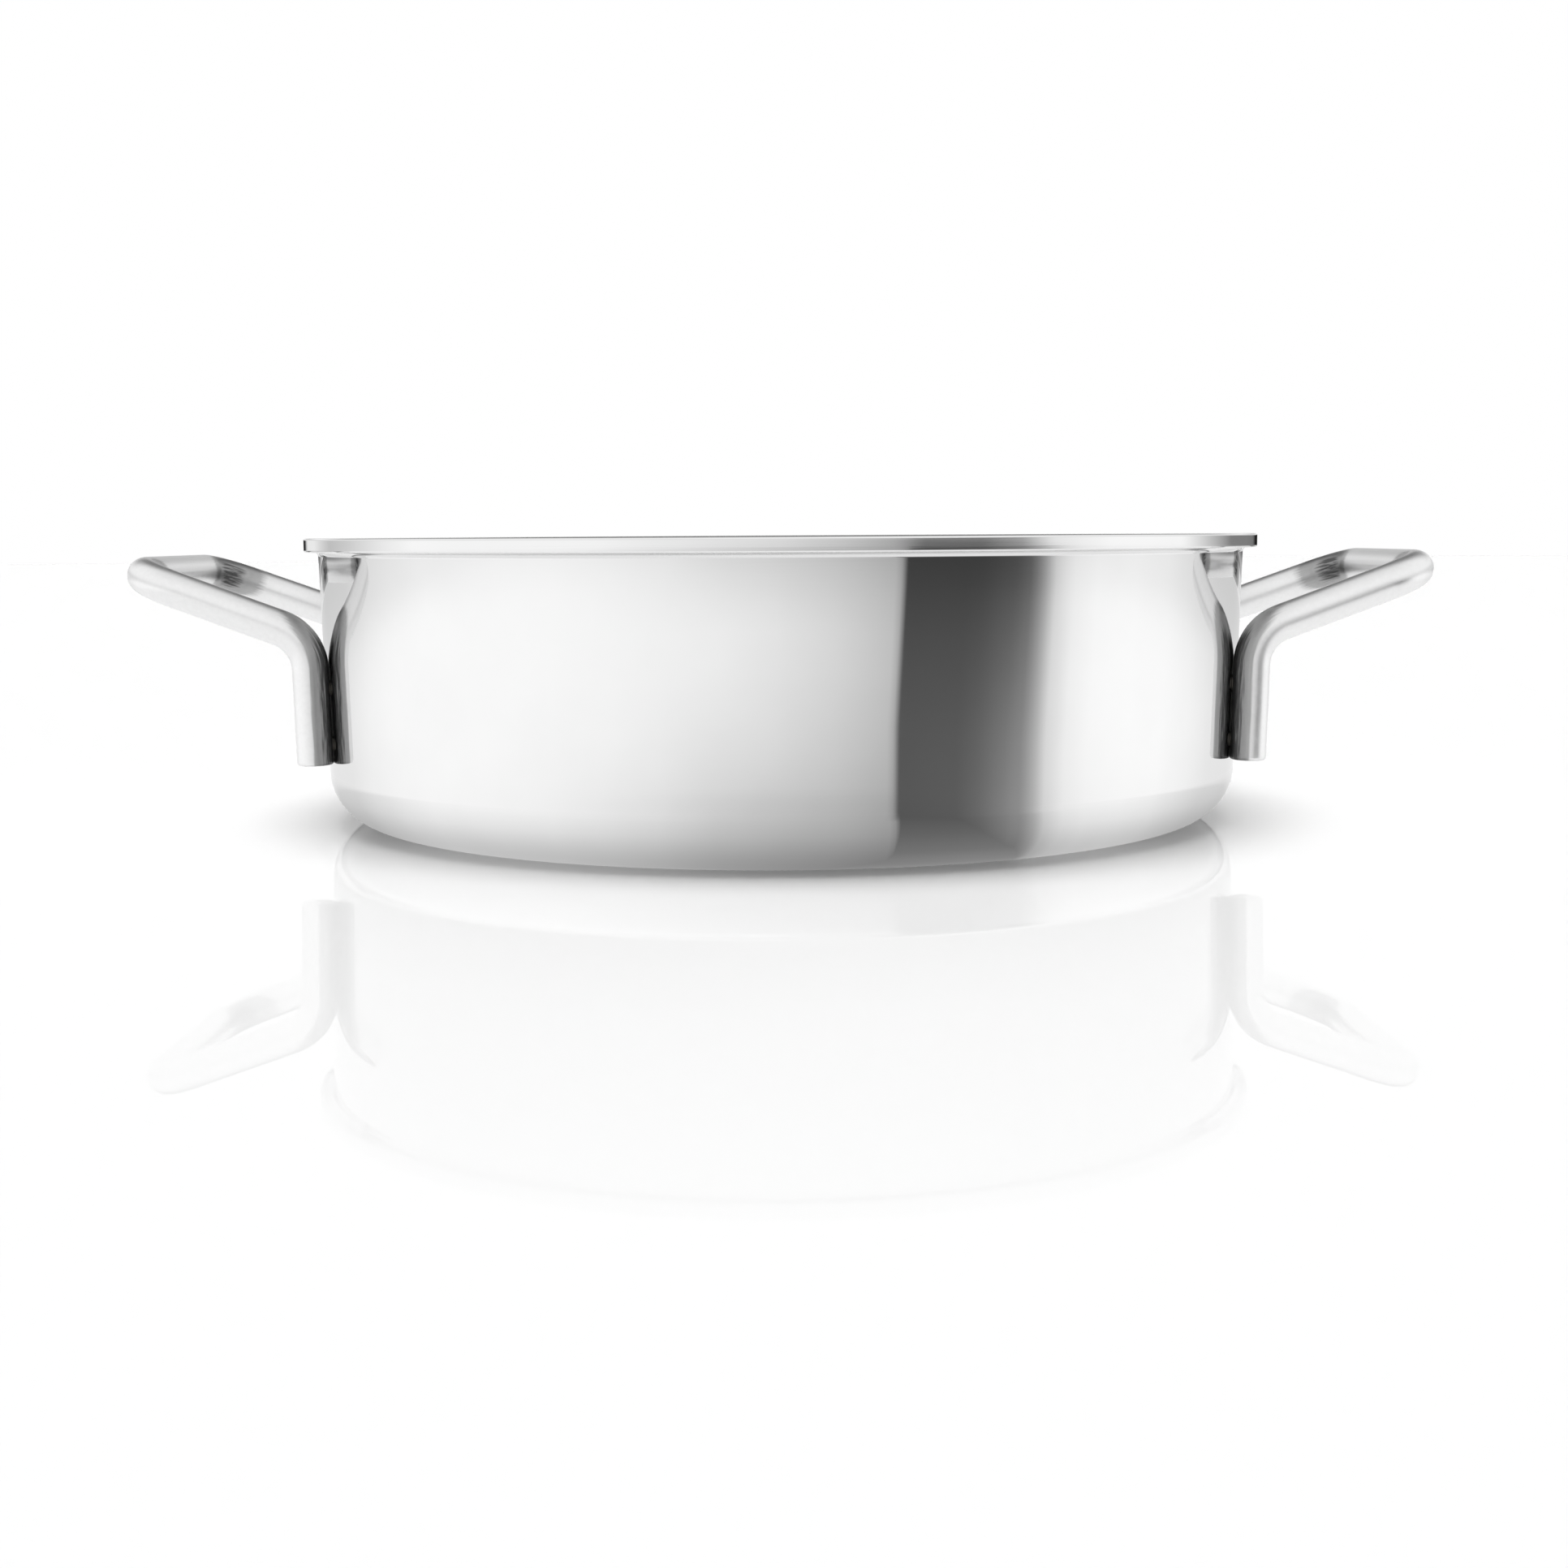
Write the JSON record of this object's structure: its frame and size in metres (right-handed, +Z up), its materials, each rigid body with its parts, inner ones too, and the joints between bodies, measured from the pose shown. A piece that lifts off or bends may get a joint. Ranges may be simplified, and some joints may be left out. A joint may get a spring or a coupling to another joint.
{
  "type": "saute pan",
  "caption": "Straight-sided stainless clad saute pan with a flat pouring rim and loop handles of bent rod welded to the wall.",
  "frame": {"origin": "centre of the base's underside, on the surface that the pan stands on", "axes": "+Z up along the pan's axis, +X through the right handle, -Y towards the viewer of the picture"},
  "size_m": [0.336, 0.252, 0.0746],
  "materials": {
    "shell_steel": "ground round the axis and polished, mirror-like with a faint haze",
    "core_aluminium": "bare rolled sheet, sealed inside",
    "liner_steel": "satin, brushed round the axis",
    "handle_steel": "belt-polished rod, duller on the side that faces the wall",
    "weld_steel": "as welded"
  },
  "bodies": {
    "root": {"outer_shell": "shell_steel", "aluminium_core": "core_aluminium", "inner_liner": "liner_steel", "left_handle": "handle_steel", "right_handle": "handle_steel", "left_front_lower_weld": "weld_steel", "left_front_upper_weld": "weld_steel", "left_rear_lower_weld": "weld_steel", "left_rear_upper_weld": "weld_steel", "right_front_lower_weld": "weld_steel", "right_front_upper_weld": "weld_steel", "right_rear_lower_weld": "weld_steel", "right_rear_upper_weld": "weld_steel"}
  },
  "joints": []
}
